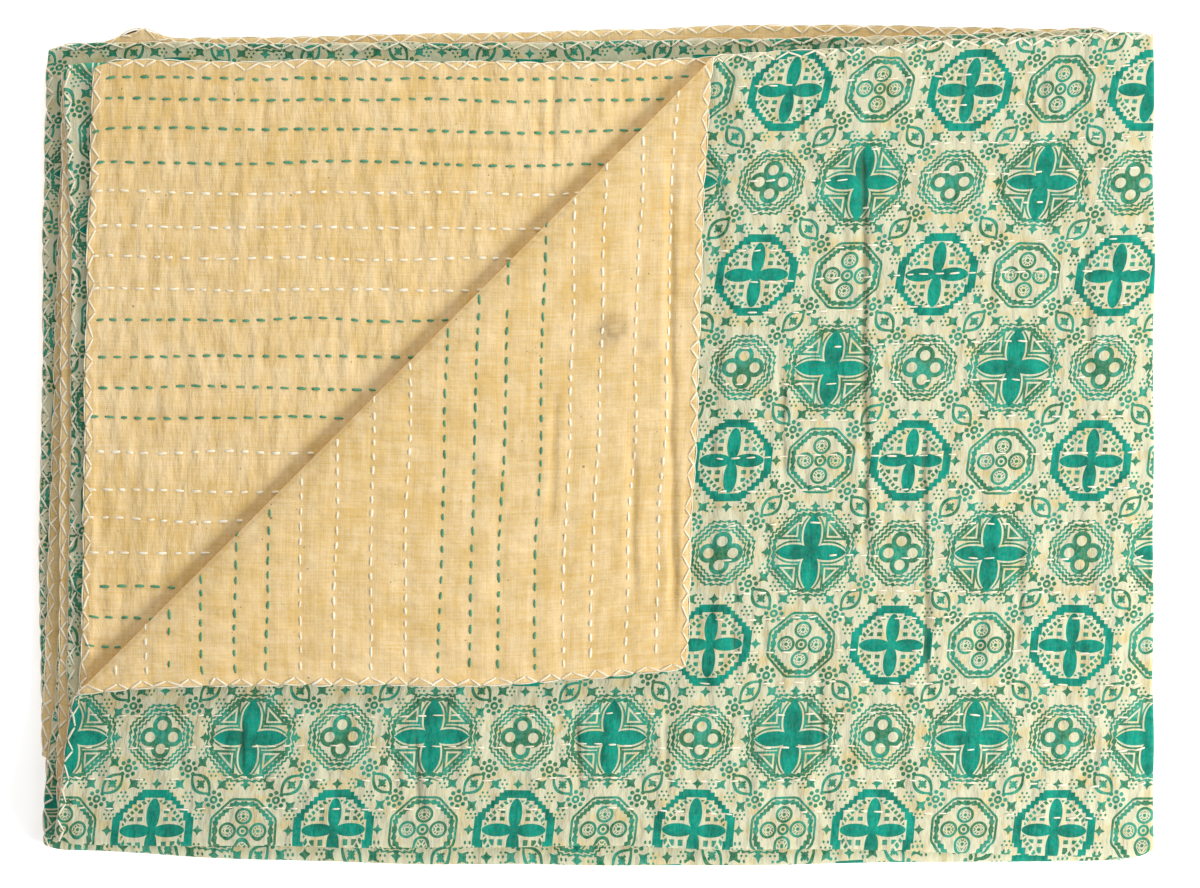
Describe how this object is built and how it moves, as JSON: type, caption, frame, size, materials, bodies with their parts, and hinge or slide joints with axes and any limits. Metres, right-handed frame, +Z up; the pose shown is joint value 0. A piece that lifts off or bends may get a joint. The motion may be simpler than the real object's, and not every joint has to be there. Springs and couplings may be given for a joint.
{
  "type": "kantha quilt, folded",
  "caption": "Hand-stitched cotton quilt folded into a flat pile: green and cream block print on one side, plain yellow on the other, one corner turned back.",
  "frame": {"origin": "centre of the folded pile's footprint, on the surface that it lies on", "axes": "+X from the hemmed sides towards the lengthwise fold, +Y from the crosswise folds towards the free ends, +Z up from the surface"},
  "size_m": [0.7812, 0.5898, 0.0319],
  "materials": {
    "printed_cotton": "matt woven cotton, block printed",
    "yellow_cotton": "matt slubby handwoven cotton"
  },
  "bodies": {
    "root": {"printed_cloth": "printed_cotton", "yellow_cloth": "yellow_cotton"}
  },
  "joints": []
}
